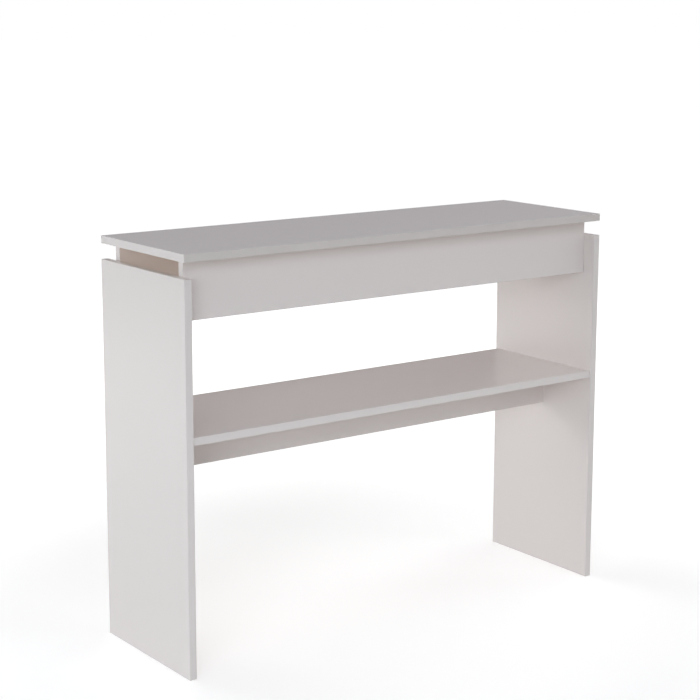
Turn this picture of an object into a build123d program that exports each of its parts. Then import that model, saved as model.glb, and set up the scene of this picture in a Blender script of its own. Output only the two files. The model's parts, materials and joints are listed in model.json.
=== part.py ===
"""Console table of laminated board, held together with hidden cam locks and dowels.

Millimetres. +X runs along the table to the right, -Y is the front and +Z is up.
The origin is on the floor, under the middle of the top.
"""

import os

from build123d import *

# Overall size and the boards
LENGTH = 1010.0
DEPTH = 305.0
HEIGHT = 790.0
BOARD = 15.0  # thickness of every board
BAND = 1.0  # thickness of the edging strips
BAND_RADIUS = 0.8  # rounding that trimming leaves on an edging strip
TOP_GAP = 30.0  # open slot between each side panel and the top
APRON_HEIGHT = 111.0
APRON_SETBACK = 30.0  # from the front and rear edges of the side panels
SHELF_HEIGHT = 455.0  # upper face of the shelf above the floor
SHELF_SETBACK = 5.0
RAIL_HEIGHT = 80.0

# Wooden dowels
DOWEL_DIAMETER = 8.0
DOWEL_IN_FACE = 10.0  # depth in the board whose face is drilled
DOWEL_IN_EDGE = 20.0  # depth in the board whose edge is drilled
DOWEL_CHAMFER = 1.0
DOWEL_FLUTES = 12
FLUTE_RADIUS = 0.5

# Cam locks: a drum in one board pulls on a bolt that is screwed into the other
DRUM_DIAMETER = 15.0
DRUM_HEIGHT = 11.7
DRUM_BORE_DEPTH = 12.5
DRUM_RECESS = 0.5  # face of the drum below the face of the board
DRUM_DISTANCE = 24.0  # from the board's edge to the drum's axis
CAVITY_RADIUS = 5.2
CAVITY_HEIGHT = 7.8
SLOT_WIDTH = 4.8
SLOT_SWEEP = 140.0  # turn that the slot in the drum's wall allows, in degrees
SLOT_LEAD = 25.0  # part of that turn past the bolt
ENTRY_DIAMETER = 7.6  # hole at the end of the slot, where the bolt's head goes in
CROSS_LENGTH = 8.4
CROSS_WIDTH = 1.6
CROSS_DEPTH = 2.2
HEAD_DIAMETER = 6.8
HEAD_LENGTH = 2.5
HEAD_REACH = 3.7  # from the drum's axis to the face of the head that the drum pulls
NECK_DIAMETER = 4.2
NECK_LENGTH = 4.3
SHANK_DIAMETER = 6.6
SHANK_BORE_DIAMETER = 8.0
COLLAR_DIAMETER = 7.6
COLLAR_LENGTH = 1.2
THREAD_DIAMETER = 6.3
THREAD_ROOT_DIAMETER = 5.0
THREAD_PITCH = 2.2
THREAD_TURNS = 5

# Press-in covers for the drums that can be seen from below and behind
CAP_DIAMETER = 17.0
CAP_THICKNESS = 1.4
CAP_ROUNDING = 0.9
CAP_PEG_LENGTH = 7.4
CAP_PEG_WIDTH = 1.2

# Room round a fastener in its bore
BORE_CLEARANCE = 0.1  # on the diameter
BORE_EXTRA_DEPTH = 0.5

# Fastener places along the joints
TOP_CAM_X = (-380.0, 0.0, 380.0)
TOP_DOWEL_X = (-430.0, -190.0, 190.0, 430.0)
RAIL_DOWEL_X = (-345.0, -115.0, 115.0, 345.0)
SHELF_CAM_Y = 88.0
SHELF_DOWEL_Y = 120.0
END_DOWEL_OFFSET = 24.0  # from a cam bolt to the dowels above and below it

# Levels and places that follow from the sizes above
TOP_UNDERSIDE = HEIGHT - BOARD
SIDE_HEIGHT = TOP_UNDERSIDE - TOP_GAP
INNER_LENGTH = LENGTH - 2 * BOARD  # between the side panels
INNER_X = INNER_LENGTH / 2
SIDE_X = INNER_X + BOARD / 2  # middle of a side panel's thickness
APRON_Y = DEPTH / 2 - APRON_SETBACK - BOARD / 2  # middle of an apron's thickness
APRON_BOTTOM = TOP_UNDERSIDE - APRON_HEIGHT
APRON_CAM_Z = (APRON_BOTTOM + SIDE_HEIGHT) / 2
SHELF_DEPTH = DEPTH - 2 * SHELF_SETBACK
SHELF_UNDERSIDE = SHELF_HEIGHT - BOARD
SHELF_MIDDLE = SHELF_HEIGHT - BOARD / 2
RAIL_BOTTOM = SHELF_UNDERSIDE - RAIL_HEIGHT
RAIL_CAM_Z = SHELF_UNDERSIDE - RAIL_HEIGHT / 2
THREAD_LENGTH = THREAD_TURNS * THREAD_PITCH

SIDES = {"left": -1, "right": 1}  # sign of X
ROWS = {"front": -1, "rear": 1}  # sign of Y
ENDS = SIDES.values()
ACROSS_ROWS = ROWS.values()
UP = (0, 0, 1)
DOWN = (0, 0, -1)
REARWARD = (0, 1, 0)
RISING = (Align.CENTER, Align.CENTER, Align.MIN)
SINKING = (Align.CENTER, Align.CENTER, Align.MAX)


def station(x, y, z, along, facing):
    """Where a fastener crosses from one board's edge into another board's face.

    Z of the plane goes along the fastener into that face, and X points to where the drum can be seen.
    """
    return Plane(origin=(x, y, z), x_dir=facing, z_dir=along)


# A drum's face at the board's face: Z looks out of the board, and X points along the bolt
DRUM_FACE = Plane(origin=(BOARD / 2, 0, -DRUM_DISTANCE), x_dir=(0, 0, 1), z_dir=(1, 0, 0))

# Stations of the joint between the top and the aprons
TOP_CAMS = [
    station(x, row * APRON_Y, TOP_UNDERSIDE, UP, (0, -row, 0))
    for row in ACROSS_ROWS
    for x in TOP_CAM_X
]
TOP_DOWELS = [
    station(x, row * APRON_Y, TOP_UNDERSIDE, UP, (0, -row, 0))
    for row in ACROSS_ROWS
    for x in TOP_DOWEL_X
]

# Stations of the joints between the aprons and the side panels
APRON_CAMS = [
    station(end * INNER_X, row * APRON_Y, APRON_CAM_Z, (end, 0, 0), (0, -row, 0))
    for row in ACROSS_ROWS
    for end in ENDS
]
APRON_DOWELS = [
    station(end * INNER_X, row * APRON_Y, APRON_CAM_Z + rise, (end, 0, 0), (0, -row, 0))
    for row in ACROSS_ROWS
    for end in ENDS
    for rise in (-END_DOWEL_OFFSET, END_DOWEL_OFFSET)
]

# Stations of the joints between the shelf and the side panels
SHELF_CAMS = [
    station(end * INNER_X, row * SHELF_CAM_Y, SHELF_MIDDLE, (end, 0, 0), DOWN)
    for row in ACROSS_ROWS
    for end in ENDS
]
SHELF_DOWELS = [
    station(end * INNER_X, row * SHELF_DOWEL_Y, SHELF_MIDDLE, (end, 0, 0), DOWN)
    for row in ACROSS_ROWS
    for end in ENDS
]

# Stations of the joints between the rail, the side panels and the shelf
RAIL_CAMS = [station(end * INNER_X, 0, RAIL_CAM_Z, (end, 0, 0), REARWARD) for end in ENDS]
RAIL_END_DOWELS = [
    station(end * INNER_X, 0, RAIL_CAM_Z + rise, (end, 0, 0), REARWARD)
    for end in ENDS
    for rise in (-END_DOWEL_OFFSET, END_DOWEL_OFFSET)
]
RAIL_TOP_DOWELS = [station(x, 0, SHELF_UNDERSIDE, UP, REARWARD) for x in RAIL_DOWEL_X]

# Fluted dowel
with BuildPart(Plane.XY.offset(-DOWEL_IN_EDGE)) as dowel:
    dowel_length = DOWEL_IN_EDGE + DOWEL_IN_FACE
    Cylinder(DOWEL_DIAMETER / 2, dowel_length, align=RISING)
    chamfer(dowel.edges().filter_by(GeomType.CIRCLE), DOWEL_CHAMFER)
    with PolarLocations(DOWEL_DIAMETER / 2, DOWEL_FLUTES):
        Cylinder(FLUTE_RADIUS, dowel_length, align=RISING, mode=Mode.SUBTRACT)

# What a dowel's drill takes out of both boards
with BuildPart() as dowel_bore:
    bore_radius = (DOWEL_DIAMETER + BORE_CLEARANCE) / 2
    Cylinder(bore_radius, DOWEL_IN_EDGE + BORE_EXTRA_DEPTH, align=SINKING)
    Cylinder(bore_radius, DOWEL_IN_FACE + BORE_EXTRA_DEPTH, align=RISING)

# Bolt: a head for the drum, a neck, a shank, a collar that stops at the face, and a coarse thread
with BuildPart() as cam_bolt:
    head_top = HEAD_REACH - DRUM_DISTANCE
    neck_top = head_top + NECK_LENGTH
    with Locations((0, 0, head_top)):
        Cylinder(HEAD_DIAMETER / 2, HEAD_LENGTH, align=SINKING)
        Cylinder(NECK_DIAMETER / 2, NECK_LENGTH, align=RISING)
    with Locations((0, 0, neck_top)):
        Cylinder(SHANK_DIAMETER / 2, -neck_top, align=RISING)
    Cylinder(COLLAR_DIAMETER / 2, COLLAR_LENGTH, align=SINKING)
    with BuildSketch(Plane.XZ) as thread_outline:
        with BuildLine():
            root_start = (THREAD_ROOT_DIAMETER / 2, 0)
            crest = (THREAD_DIAMETER / 2, THREAD_PITCH / 2)
            root_end = (THREAD_ROOT_DIAMETER / 2, THREAD_PITCH)
            Polyline((0, 0), root_start, crest, root_end, (0, THREAD_PITCH), close=True)
        make_face()
        with Locations(*[(0, turn * THREAD_PITCH) for turn in range(1, THREAD_TURNS)]):
            add(thread_outline.sketch_local)
    revolve(axis=Axis.Z)

# What the three drills of a cam lock take out of the boards
with BuildPart() as cam_bore:
    Cylinder(SHANK_BORE_DIAMETER / 2, DRUM_DISTANCE, align=SINKING)
    Cylinder((THREAD_DIAMETER + BORE_CLEARANCE) / 2, THREAD_LENGTH + BORE_EXTRA_DEPTH, align=RISING)
    with BuildSketch(DRUM_FACE):
        Circle((DRUM_DIAMETER + BORE_CLEARANCE) / 2)
    extrude(amount=-DRUM_BORE_DEPTH)

# Drum: a cavity for the bolt's head, a slot round its wall, an entry hole and a driver cross
with BuildPart() as cam_drum:
    drum_face = DRUM_FACE.offset(-DRUM_RECESS)
    bolt_level = DRUM_FACE.offset(-BOARD / 2)
    entry_angle = SLOT_SWEEP - SLOT_LEAD
    with BuildSketch(drum_face):
        Circle((DRUM_DIAMETER - BORE_CLEARANCE) / 2)
    extrude(amount=-DRUM_HEIGHT)
    with BuildSketch(bolt_level):
        Circle(CAVITY_RADIUS)
    extrude(amount=CAVITY_HEIGHT / 2, both=True, mode=Mode.SUBTRACT)
    with BuildSketch(bolt_level):
        with BuildLine():
            sweep_arc = CenterArc((0, 0), DRUM_DIAMETER, -SLOT_LEAD, SLOT_SWEEP)
            Line((0, 0), sweep_arc @ 0)
            Line((0, 0), sweep_arc @ 1)
        make_face()
    extrude(amount=SLOT_WIDTH / 2, both=True, mode=Mode.SUBTRACT)
    with BuildSketch(bolt_level.rotated((0, 90, 0)).rotated((-entry_angle, 0, 0))):
        Circle(ENTRY_DIAMETER / 2)
    extrude(amount=DRUM_DIAMETER, mode=Mode.SUBTRACT)
    with BuildSketch(drum_face):
        Rectangle(CROSS_LENGTH, CROSS_WIDTH)
        Rectangle(CROSS_WIDTH, CROSS_LENGTH)
    extrude(amount=-CROSS_DEPTH, mode=Mode.SUBTRACT)

# Cover whose cross-shaped peg presses into the driver cross
with BuildPart() as cam_cap:
    with BuildSketch(DRUM_FACE):
        Circle(CAP_DIAMETER / 2)
    extrude(amount=CAP_THICKNESS)
    fillet(cam_cap.edges().filter_by(GeomType.CIRCLE).sort_by(Axis.X)[-1], CAP_ROUNDING)
    with BuildSketch(DRUM_FACE):
        Rectangle(CAP_PEG_LENGTH, CAP_PEG_WIDTH)
        Rectangle(CAP_PEG_WIDTH, CAP_PEG_LENGTH)
    extrude(amount=-CROSS_DEPTH)


def drill(cutter, stations):
    """Take a fastener's bore out of the piece being built, at each station that it reaches."""
    with Locations(*stations):
        add(cutter.part, mode=Mode.SUBTRACT)


def save(builder, name):
    """Label a finished piece and write its file."""
    builder.part.label = name
    export_step(builder.part, f"parts/{name}.step")


def save_fasteners(piece, stations, name):
    """Put a copy of a fastener at each station and write them together."""
    with BuildPart() as group:
        with Locations(*stations):
            add(piece.part)
    save(group, name)


def save_band(middle, along, outward, length, name, free_ends=True):
    """Edging strip on a board's edge. The middle is that of the bare edge under the strip.

    A strip with free ends is rounded there too, and one that butts against something isn't.
    The strips on an apron's ends are drilled with the apron.
    """
    edge = Plane(origin=middle, x_dir=along, z_dir=outward)
    with BuildPart() as band:
        with BuildSketch(edge):
            Rectangle(length, BOARD)
        extrude(amount=BAND)
        outer_edges = band.faces().sort_by(Axis(middle, outward))[-1].edges()
        if not free_ends:
            outer_edges = outer_edges.filter_by(Axis(middle, along))
        fillet(outer_edges, BAND_RADIUS)
        drill(cam_bore, APRON_CAMS)
        drill(dowel_bore, APRON_DOWELS)
    save(band, name)


os.makedirs("parts", exist_ok=True)

# Top panel and its edging
with BuildPart() as top_panel:
    with BuildSketch(Plane.XY.offset(TOP_UNDERSIDE)):
        Rectangle(LENGTH - 2 * BAND, DEPTH - 2 * BAND)
    extrude(amount=BOARD)
    drill(cam_bore, TOP_CAMS)
    drill(dowel_bore, TOP_DOWELS)
save(top_panel, "top_panel")

top_middle = HEIGHT - BOARD / 2
for row_name, row in ROWS.items():
    bare_edge = (0, row * (DEPTH / 2 - BAND), top_middle)
    save_band(bare_edge, (1, 0, 0), (0, row, 0), LENGTH, f"top_panel_{row_name}_band")
for side_name, side in SIDES.items():
    bare_edge = (side * (LENGTH / 2 - BAND), 0, top_middle)
    name = f"top_panel_{side_name}_band"
    save_band(bare_edge, (0, 1, 0), (side, 0, 0), DEPTH - 2 * BAND, name, free_ends=False)

# Side panels and their edging
for side_name, side in SIDES.items():
    with BuildPart() as side_panel:
        with BuildSketch(Plane.YZ.offset(side * INNER_X)):
            with Locations((0, SIDE_HEIGHT / 2)):
                Rectangle(DEPTH - 2 * BAND, SIDE_HEIGHT - 2 * BAND)
        extrude(amount=side * BOARD)
        drill(cam_bore, APRON_CAMS + SHELF_CAMS + RAIL_CAMS)
        drill(dowel_bore, APRON_DOWELS + SHELF_DOWELS + RAIL_END_DOWELS)
    save(side_panel, f"{side_name}_side_panel")

    for row_name, row in ROWS.items():
        bare_edge = (side * SIDE_X, row * (DEPTH / 2 - BAND), SIDE_HEIGHT / 2)
        name = f"{side_name}_side_{row_name}_band"
        save_band(bare_edge, UP, (0, row, 0), SIDE_HEIGHT, name)
    for edge_name, level, outward in (("top", SIDE_HEIGHT - BAND, UP), ("bottom", BAND, DOWN)):
        bare_edge = (side * SIDE_X, 0, level)
        name = f"{side_name}_side_{edge_name}_band"
        save_band(bare_edge, (0, 1, 0), outward, DEPTH - 2 * BAND, name, free_ends=False)

# Aprons and their edging; the upper edge against the top stays bare
for row_name, row in ROWS.items():
    with BuildPart() as apron:
        with BuildSketch(Plane.XY.offset(APRON_BOTTOM + BAND)):
            with Locations((0, row * APRON_Y)):
                Rectangle(INNER_LENGTH - 2 * BAND, BOARD)
        extrude(amount=APRON_HEIGHT - BAND)
        drill(cam_bore, TOP_CAMS + APRON_CAMS)
        drill(dowel_bore, TOP_DOWELS + APRON_DOWELS)
    save(apron, f"{row_name}_apron")

    bare_edge = (0, row * APRON_Y, APRON_BOTTOM + BAND)
    name = f"{row_name}_apron_bottom_band"
    save_band(bare_edge, (1, 0, 0), DOWN, INNER_LENGTH, name, free_ends=False)
    for side_name, side in SIDES.items():
        bare_edge = (side * (INNER_X - BAND), row * APRON_Y, TOP_UNDERSIDE - (APRON_HEIGHT - BAND) / 2)
        name = f"{row_name}_apron_{side_name}_band"
        save_band(bare_edge, UP, (side, 0, 0), APRON_HEIGHT - BAND, name, free_ends=False)

# Shelf and its edging; the ends against the side panels stay bare
with BuildPart() as shelf:
    with BuildSketch(Plane.XY.offset(SHELF_UNDERSIDE)):
        Rectangle(INNER_LENGTH, SHELF_DEPTH - 2 * BAND)
    extrude(amount=BOARD)
    drill(cam_bore, SHELF_CAMS)
    drill(dowel_bore, SHELF_DOWELS + RAIL_TOP_DOWELS)
save(shelf, "shelf")

for row_name, row in ROWS.items():
    bare_edge = (0, row * (SHELF_DEPTH / 2 - BAND), SHELF_MIDDLE)
    name = f"shelf_{row_name}_band"
    save_band(bare_edge, (1, 0, 0), (0, row, 0), INNER_LENGTH, name, free_ends=False)

# Rail under the middle of the shelf, edged along the bottom only
with BuildPart() as shelf_rail:
    with BuildSketch(Plane.XY.offset(RAIL_BOTTOM + BAND)):
        Rectangle(INNER_LENGTH, BOARD)
    extrude(amount=RAIL_HEIGHT - BAND)
    drill(cam_bore, RAIL_CAMS)
    drill(dowel_bore, RAIL_END_DOWELS + RAIL_TOP_DOWELS)
save(shelf_rail, "shelf_rail")

bare_edge = (0, 0, RAIL_BOTTOM + BAND)
save_band(bare_edge, (1, 0, 0), DOWN, INNER_LENGTH, "shelf_rail_bottom_band", free_ends=False)

# Cam locks, joint by joint
cams_by_joint = {"top": TOP_CAMS, "apron": APRON_CAMS, "shelf": SHELF_CAMS, "rail": RAIL_CAMS}
for joint, stations in cams_by_joint.items():
    save_fasteners(cam_bolt, stations, f"{joint}_cam_bolts")
    save_fasteners(cam_drum, stations, f"{joint}_cam_drums")
save_fasteners(cam_cap, SHELF_CAMS, "shelf_cam_caps")
save_fasteners(cam_cap, RAIL_CAMS, "rail_cam_caps")

# Dowels, joint by joint
save_fasteners(dowel, TOP_DOWELS, "top_dowels")
save_fasteners(dowel, APRON_DOWELS, "apron_dowels")
save_fasteners(dowel, SHELF_DOWELS, "shelf_dowels")
save_fasteners(dowel, RAIL_END_DOWELS, "rail_end_dowels")
save_fasteners(dowel, RAIL_TOP_DOWELS, "rail_top_dowels")
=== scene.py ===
"""Looks of the console table: off-white laminate, edging strips, hidden hardware, light and camera.

Metres, in the table's own frame: +X along the table to the right, -Y the front, +Z up.
"""

import json
import math

import bpy
from mathutils import Matrix, Vector

# Camera: where it stands round the table, and how long its lens is
AZIMUTH = math.radians(-36.33)
ELEVATION = math.radians(10.2)
ROLL = math.radians(0.15)
DISTANCE = 3.545
AIM_HEIGHT = 0.4  # on the table's upright axis; the camera aims beside and above this point
AIM_RIGHT = -0.0252
AIM_UP = 0.2164
FOCAL_PIXELS = 1746.0
IMAGE_PIXELS = 700.0
SENSOR = 36.0  # millimetres
SHIFT_Y = -0.06
VIEW_DEPTH = 200.0

# Colours, as they look under plain light, save the top strip's, which has painted shade in it
LAMINATE = (225, 218, 215)
BACKING = (233, 219, 208)
STRIP = (222, 216, 213)
# Painted shade: a darker copy of the strip colour for the top's front and rear strips, standing in for the
# weaker light that reaches them
TOP_STRIP_PAINTED_SHADE = (208, 202, 198)
BEECH_LIGHT = (214, 180, 138)
BEECH_DARK = (184, 142, 98)
ZINC = (158, 160, 163)
PLATED_STEEL = (196, 192, 182)
PASSIVATION = (206, 196, 166)
CAP = (229, 227, 224)
FLOOR = (243, 242, 241)
WHITE = (1.0, 1.0, 1.0, 1.0)
BLACK = (0.0, 0.0, 0.0, 1.0)

# Boards with a creamier backing sheet, and which way that face looks
BACKED = {
    "top_panel": (0, 0, -1),
    "shelf": (0, 0, -1),
    "front_apron": (0, 1, 0),
    "rear_apron": (0, -1, 0),
}

# Edging strips painted darker than the rest, as painted shade
PAINTED_SHADE_STRIPS = ("top_panel_front_band", "top_panel_rear_band")

# Floor, which glows for the eye and in mirror images, and most where the lamps don't reach
FLOOR_SIZE = 80.0
GLOW_NEAR = 0.34
GLOW_FAR = 0.9
NEAR = 0.7  # metres from the table's middle
FAR = 2.8

# Card behind the table, warm near its lower edge and cool above
CARD_SIZE = (5.9, 1.8)
CARD_PLACE = (1.25, 2.45, 1.35)
CARD_AIM = (0.0, 0.0, 1.35)
CARD_GLOW = 0.39
CARD_LOW = (255, 227, 215)
CARD_HIGH = (221, 224, 241)
CARD_TURNS_COOL = (-0.5, -0.1)  # metres from the card's middle

# Light from all round, lamp tints, and where most lamps point
AMBIENT = 0.13
SKY_GLOW = 1.0  # where the sky itself or its mirror image is seen
COOL = (0.86, 0.96, 1.0)
CLEAR = (0.88, 0.93, 1.0)
NEUTRAL = (1.0, 1.0, 1.0)
TABLE_MIDDLE = (0.0, 0.0, 0.45)
OPEN_BEAM = 180.0  # degrees
NARROW_BEAM = 50.0


def linear(colour):
    """Scene colour of an 8-bit screen colour, by the sRGB curve."""
    parts = [c / 255 for c in colour]
    return tuple(p / 12.92 if p <= 0.04045 else ((p + 0.055) / 1.055) ** 2.4 for p in parts) + (1.0,)


def shade(colour, factor):
    """A scene colour made lighter or darker."""
    return tuple(c * factor for c in colour[:3]) + (1.0,)


class Nodes:
    """A material's node tree, with short words for the nodes used here."""

    def __init__(self, name):
        self.material = bpy.data.materials.new(name)
        self.material.use_nodes = True
        self.tree = self.material.node_tree
        self.shader = self.tree.nodes["Principled BSDF"]
        self.place = self.add("ShaderNodeTexCoord").outputs["Object"]

    def add(self, kind, **values):
        node = self.tree.nodes.new(kind)
        for name, value in values.items():
            setattr(node, name, value)
        return node

    def link(self, output, target):
        self.tree.links.new(output, target)

    def noise(self, per_metre, detail=2.0, roughness=0.5):
        """Noise with so many features to the metre."""
        node = self.add("ShaderNodeTexNoise")
        node.inputs["Scale"].default_value = per_metre
        node.inputs["Detail"].default_value = detail
        node.inputs["Roughness"].default_value = roughness
        self.link(self.place, node.inputs["Vector"])
        return node.outputs["Fac"]

    def spread(self, value, low=0.0, high=1.0, start=0.3, end=0.7):
        """Map a value from start to end, where most of a noise lies, onto a range from low to high."""
        node = self.add("ShaderNodeMapRange")
        node.inputs["From Min"].default_value = start
        node.inputs["From Max"].default_value = end
        node.inputs["To Min"].default_value = low
        node.inputs["To Max"].default_value = high
        self.link(value, node.inputs["Value"])
        return node.outputs["Result"]

    def mix(self, factor, first, second):
        """Blend two colours, each a colour or another node's output."""
        node = self.add("ShaderNodeMix", data_type="RGBA")
        self.link(factor, node.inputs["Factor"])
        for name, colour in (("A", first), ("B", second)):
            socket = next(s for s in node.inputs if s.name == name and s.type == "RGBA")
            if isinstance(colour, tuple):
                socket.default_value = colour
            else:
                self.link(colour, socket)
        return next(s for s in node.outputs if s.type == "RGBA")

    def bump(self, height, depth, strength):
        """Surface relief of a height map, so many metres deep."""
        node = self.add("ShaderNodeBump")
        node.inputs["Distance"].default_value = depth
        node.inputs["Strength"].default_value = strength
        self.link(height, node.inputs["Height"])
        return node.outputs["Normal"]

    def set(self, **inputs):
        """Fill the shader's sockets, named with underscores, with values or other nodes' outputs."""
        for name, value in inputs.items():
            socket = self.shader.inputs[name.replace("_", " ")]
            if isinstance(value, bpy.types.NodeSocket):
                self.link(value, socket)
            else:
                socket.default_value = value


def laminate(name="board_laminate", backed=None):
    """Pressed melamine face: a fine pearl texture, a faint cloudiness and a satin gloss.

    A board that is seen from one side only has a creamier backing sheet on the face that looks along backed.
    """
    n = Nodes(name)
    base = linear(LAMINATE)
    clouds = n.spread(n.noise(per_metre=4.0, detail=3.0))
    paper = n.spread(n.noise(per_metre=900.0, detail=1.0))
    cloudy = n.mix(clouds, shade(base, 0.994), shade(base, 1.006))
    colour = n.mix(n.spread(paper, high=0.3, start=0.0, end=1.0), cloudy, shade(base, 0.97))
    if backed is not None:
        turned = n.add("ShaderNodeVectorMath", operation="DOT_PRODUCT")
        n.link(n.add("ShaderNodeNewGeometry").outputs["True Normal"], turned.inputs[0])
        turned.inputs[1].default_value = backed
        sheet = n.mix(clouds, shade(linear(BACKING), 0.98), shade(linear(BACKING), 1.01))
        colour = n.mix(n.spread(turned.outputs["Value"], start=0.5, end=0.6), colour, sheet)
    n.set(
        Base_Color=colour,
        Roughness=n.spread(n.noise(per_metre=30.0), low=0.285, high=0.31),
        Normal=n.bump(n.noise(per_metre=650.0), depth=0.00005, strength=0.6),
        IOR=1.48,
    )
    return n.material


def edge_strip(name="edge_strip", tone=STRIP):
    """Extruded plastic edging: a shallower texture than the board's, and a softer gloss."""
    n = Nodes(name)
    base = linear(tone)
    clouds = n.spread(n.noise(per_metre=14.0))
    n.set(
        Base_Color=n.mix(clouds, shade(base, 0.985), shade(base, 1.01)),
        Roughness=n.spread(n.noise(per_metre=60.0, detail=3.0), low=0.3, high=0.36),
        Normal=n.bump(n.noise(per_metre=420.0, detail=1.0), depth=0.00004, strength=0.3),
        IOR=1.5,
    )
    return n.material


def beech():
    """Turned beech: fine grain with short dark flecks."""
    n = Nodes("beech")
    grain = n.noise(per_metre=700.0, detail=4.0, roughness=0.6)
    flecks = n.spread(n.noise(per_metre=2600.0, detail=1.0), start=0.58, end=0.66)
    faint_flecks = n.spread(flecks, high=0.5, start=0.0, end=1.0)
    wood = n.mix(n.spread(grain), linear(BEECH_LIGHT), linear(BEECH_DARK))
    n.set(
        Base_Color=n.mix(faint_flecks, wood, shade(linear(BEECH_DARK), 0.6)),
        Roughness=n.spread(grain, low=0.55, high=0.72),
        Normal=n.bump(grain, depth=0.00008, strength=0.5),
    )
    return n.material


def cast_zinc():
    """Die-cast zinc alloy: dull, slightly pitted and unevenly oxidised."""
    n = Nodes("cast_zinc")
    base = linear(ZINC)
    bloom = n.spread(n.noise(per_metre=260.0, detail=4.0))
    n.set(
        Base_Color=n.mix(bloom, shade(base, 0.82), shade(base, 1.08)),
        Metallic=1.0,
        Roughness=n.spread(n.noise(per_metre=900.0, detail=3.0), low=0.36, high=0.55),
        Normal=n.bump(n.noise(per_metre=2400.0), depth=0.00006, strength=0.5),
    )
    return n.material


def plated_steel():
    """Zinc-plated turned steel with a faint yellow passivation."""
    n = Nodes("plated_steel")
    tint = n.spread(n.noise(per_metre=300.0))
    n.set(
        Base_Color=n.mix(tint, linear(PLATED_STEEL), shade(linear(PASSIVATION), 0.95)),
        Metallic=1.0,
        Roughness=n.spread(n.noise(per_metre=1500.0), low=0.29, high=0.4),
        Normal=n.bump(n.noise(per_metre=3200.0, detail=1.0), depth=0.00003, strength=0.3),
    )
    return n.material


def cap_plastic():
    """Moulded cover: fine spark texture and a soft sheen."""
    n = Nodes("cap_plastic")
    base = linear(CAP)
    clouds = n.spread(n.noise(per_metre=120.0))
    n.set(
        Base_Color=n.mix(clouds, shade(base, 0.98), shade(base, 1.01)),
        Roughness=n.spread(n.noise(per_metre=800.0), low=0.38, high=0.48),
        Normal=n.bump(n.noise(per_metre=1800.0), depth=0.00005, strength=0.4),
    )
    return n.material


FINISHES = {
    "board_laminate": laminate,
    "edge_strip": edge_strip,
    "beech": beech,
    "cast_zinc": cast_zinc,
    "plated_steel": plated_steel,
    "cap_plastic": cap_plastic,
}


def dress(frame):
    """Give every piece of the table its finish."""
    materials = {slot: make() for slot, make in FINISHES.items()}
    for subpart in frame["record"]["subparts"]:
        mesh = frame["nodes"][subpart["node"]].data
        mesh.materials.clear()
        mesh.materials.append(materials[subpart["material_slot"]])
    for node, direction in BACKED.items():
        frame["nodes"][node].data.materials[0] = laminate(f"{node}_laminate", direction)
    # Painted shade: the top's front and rear strips get the darker strip colour
    top_strip_painted_shade = edge_strip("top_strip_painted_shade", TOP_STRIP_PAINTED_SHADE)
    for node in PAINTED_SHADE_STRIPS:
        frame["nodes"][node].data.materials[0] = top_strip_painted_shade


def seen_directly(tree):
    """1 for rays that show the background itself or its mirror image, 0 for those that carry its light."""
    path = tree.nodes.new("ShaderNodeLightPath")
    seen = path.outputs["Is Camera Ray"]
    for ray in ("Is Glossy Ray", "Is Transmission Ray"):
        either = tree.nodes.new("ShaderNodeMath")
        either.operation = "MAXIMUM"
        tree.links.new(seen, either.inputs[0])
        tree.links.new(path.outputs[ray], either.inputs[1])
        seen = either.outputs[0]
    return seen


def make_plane(name, size, material):
    """Flat sheet of the studio, which isn't part of the table."""
    x, y = size[0] / 2, size[1] / 2
    mesh = bpy.data.meshes.new(name)
    mesh.from_pydata([(-x, -y, 0), (x, -y, 0), (x, y, 0), (-x, y, 0)], [], [(0, 1, 2, 3)])
    mesh.materials.append(material)
    sheet = bpy.data.objects.new(name, mesh)
    bpy.context.scene.collection.objects.link(sheet)
    return sheet


def make_floor():
    """Wide pale floor that shows white and keeps the table's shadow."""
    n = Nodes("floor")
    n.set(Base_Color=linear(FLOOR), Roughness=0.9, Specular_IOR_Level=0.0, Emission_Color=WHITE)
    distance = n.add("ShaderNodeVectorMath", operation="LENGTH")
    n.link(n.place, distance.inputs[0])
    level = n.spread(distance.outputs["Value"], GLOW_NEAR, GLOW_FAR, start=NEAR, end=FAR)
    glow = n.add("ShaderNodeMath", operation="MULTIPLY")
    n.link(seen_directly(n.tree), glow.inputs[0])
    n.link(level, glow.inputs[1])
    n.set(Emission_Strength=glow.outputs[0])
    make_plane("floor", (FLOOR_SIZE, FLOOR_SIZE), n.material)


def face(thing, place, aim, front):
    """Put a thing somewhere, with its front axis towards a point."""
    thing.location = place
    thing.rotation_euler = (Vector(aim) - Vector(place)).to_track_quat(front, "Y").to_euler()


def make_card():
    """Grey card behind the table, which only the mirror images in its top and its shelf show."""
    n = Nodes("card")
    height = n.add("ShaderNodeSeparateXYZ")
    n.link(n.place, height.inputs["Vector"])
    low, high = CARD_TURNS_COOL
    rise = n.spread(height.outputs["Y"], start=low, end=high)
    n.set(Base_Color=BLACK, Specular_IOR_Level=0.0)
    n.set(Emission_Color=n.mix(rise, linear(CARD_LOW), linear(CARD_HIGH)), Emission_Strength=CARD_GLOW)
    card = make_plane("card", CARD_SIZE, n.material)
    face(card, CARD_PLACE, CARD_AIM, "Z")
    card.visible_camera = False
    card.visible_diffuse = False
    card.visible_shadow = False


def make_world():
    """Even light from all round, and white where the eye looks past the floor."""
    world = bpy.data.worlds.new("studio")
    bpy.context.scene.world = world
    world.use_nodes = True
    tree = world.node_tree
    level = tree.nodes.new("ShaderNodeMapRange")
    level.inputs["To Min"].default_value = AMBIENT
    level.inputs["To Max"].default_value = SKY_GLOW
    tree.links.new(seen_directly(tree), level.inputs["Value"])
    sky = tree.nodes["Background"]
    sky.inputs["Color"].default_value = WHITE
    tree.links.new(level.outputs["Result"], sky.inputs["Strength"])


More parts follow.
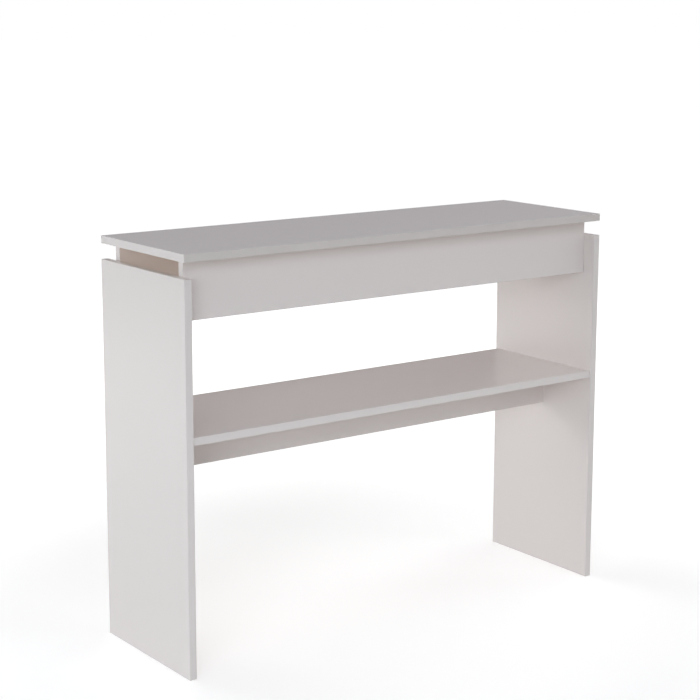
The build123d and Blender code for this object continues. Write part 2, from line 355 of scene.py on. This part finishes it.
def make_lamp(name, place, size, watts, tint=NEUTRAL, aim=TABLE_MIDDLE, beam=OPEN_BEAM):
    """Soft box that looks at a point of the table, with a grid in front where its beam is narrow."""
    data = bpy.data.lights.new(name, "AREA")
    data.shape = "RECTANGLE"
    data.size, data.size_y = size
    data.energy = watts
    data.color = tint
    data.spread = math.radians(beam)
    lamp = bpy.data.objects.new(name, data)
    face(lamp, place, aim, "-Z")
    lamp.visible_camera = False
    bpy.context.scene.collection.objects.link(lamp)
    return lamp


def make_lamps():
    """Soft boxes all round, two of them with narrow beams on the parts near the floor."""
    make_lamp("left_box", place=(-3.0, 0.2, 0.55), size=(2.4, 1.1), watts=10.8, tint=COOL)
    make_lamp("left_rear_box", place=(-2.3, 2.1, 1.8), size=(2.0, 1.8), watts=14.0)
    make_lamp("front_box", place=(-0.3, -2.6, 2.6), size=(2.4, 1.6), watts=16.8, tint=CLEAR)
    make_lamp("top_box", place=(0.0, 0.0, 3.6), size=(3.0, 3.0), watts=9.2, tint=CLEAR)
    make_lamp("right_box", place=(3.2, 0.1, 1.5), size=(3.4, 2.6), watts=47.0)
    rear_box = make_lamp("rear_box", place=(-0.9, 3.4, 1.3), size=(2.2, 2.0), watts=54.0)
    rear_box.visible_glossy = False
    make_lamp(
        "left_beam",
        place=(-2.6, -2.2, 1.1),
        size=(2.2, 1.4),
        watts=5.5,
        tint=CLEAR,
        aim=(-0.2, 0.0, 0.1),
        beam=NARROW_BEAM,
    )
    make_lamp(
        "right_beam",
        place=(1.4, -2.6, 2.4),
        size=(2.2, 1.2),
        watts=1.9,
        aim=(0.2, -0.15, 0.1),
        beam=NARROW_BEAM,
    )


def make_camera():
    """Camera at the viewing angle, its lens shifted down a little to keep upright edges nearly upright."""
    back = Vector(
        (
            math.sin(AZIMUTH) * math.cos(ELEVATION),
            -math.cos(AZIMUTH) * math.cos(ELEVATION),
            math.sin(ELEVATION),
        )
    )
    level_right = Vector((math.cos(AZIMUTH), math.sin(AZIMUTH), 0))
    level_up = back.cross(level_right)
    aim = Vector((0, 0, AIM_HEIGHT)) + AIM_RIGHT * level_right + AIM_UP * level_up
    right = math.cos(ROLL) * level_right + math.sin(ROLL) * level_up
    up = math.cos(ROLL) * level_up - math.sin(ROLL) * level_right
    data = bpy.data.cameras.new("camera")
    data.sensor_width = SENSOR
    data.lens = FOCAL_PIXELS / IMAGE_PIXELS * SENSOR
    data.shift_y = SHIFT_Y
    data.clip_end = VIEW_DEPTH
    camera = bpy.data.objects.new("camera", data)
    turn = Matrix((right, up, back)).transposed()
    camera.matrix_world = Matrix.Translation(aim + DISTANCE * back) @ turn.to_4x4()
    bpy.context.scene.collection.objects.link(camera)
    bpy.context.scene.camera = camera


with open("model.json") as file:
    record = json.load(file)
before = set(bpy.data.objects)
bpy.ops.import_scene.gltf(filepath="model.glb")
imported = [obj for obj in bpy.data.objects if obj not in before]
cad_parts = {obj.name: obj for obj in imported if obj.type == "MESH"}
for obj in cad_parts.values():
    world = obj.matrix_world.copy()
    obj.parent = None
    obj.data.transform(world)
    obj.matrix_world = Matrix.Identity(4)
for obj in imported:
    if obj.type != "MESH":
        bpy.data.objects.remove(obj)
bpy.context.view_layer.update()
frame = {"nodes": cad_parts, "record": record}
bpy.context.scene.view_settings.view_transform = "Standard"
dress(frame)
make_floor()
make_card()
make_world()
make_lamps()
make_camera()
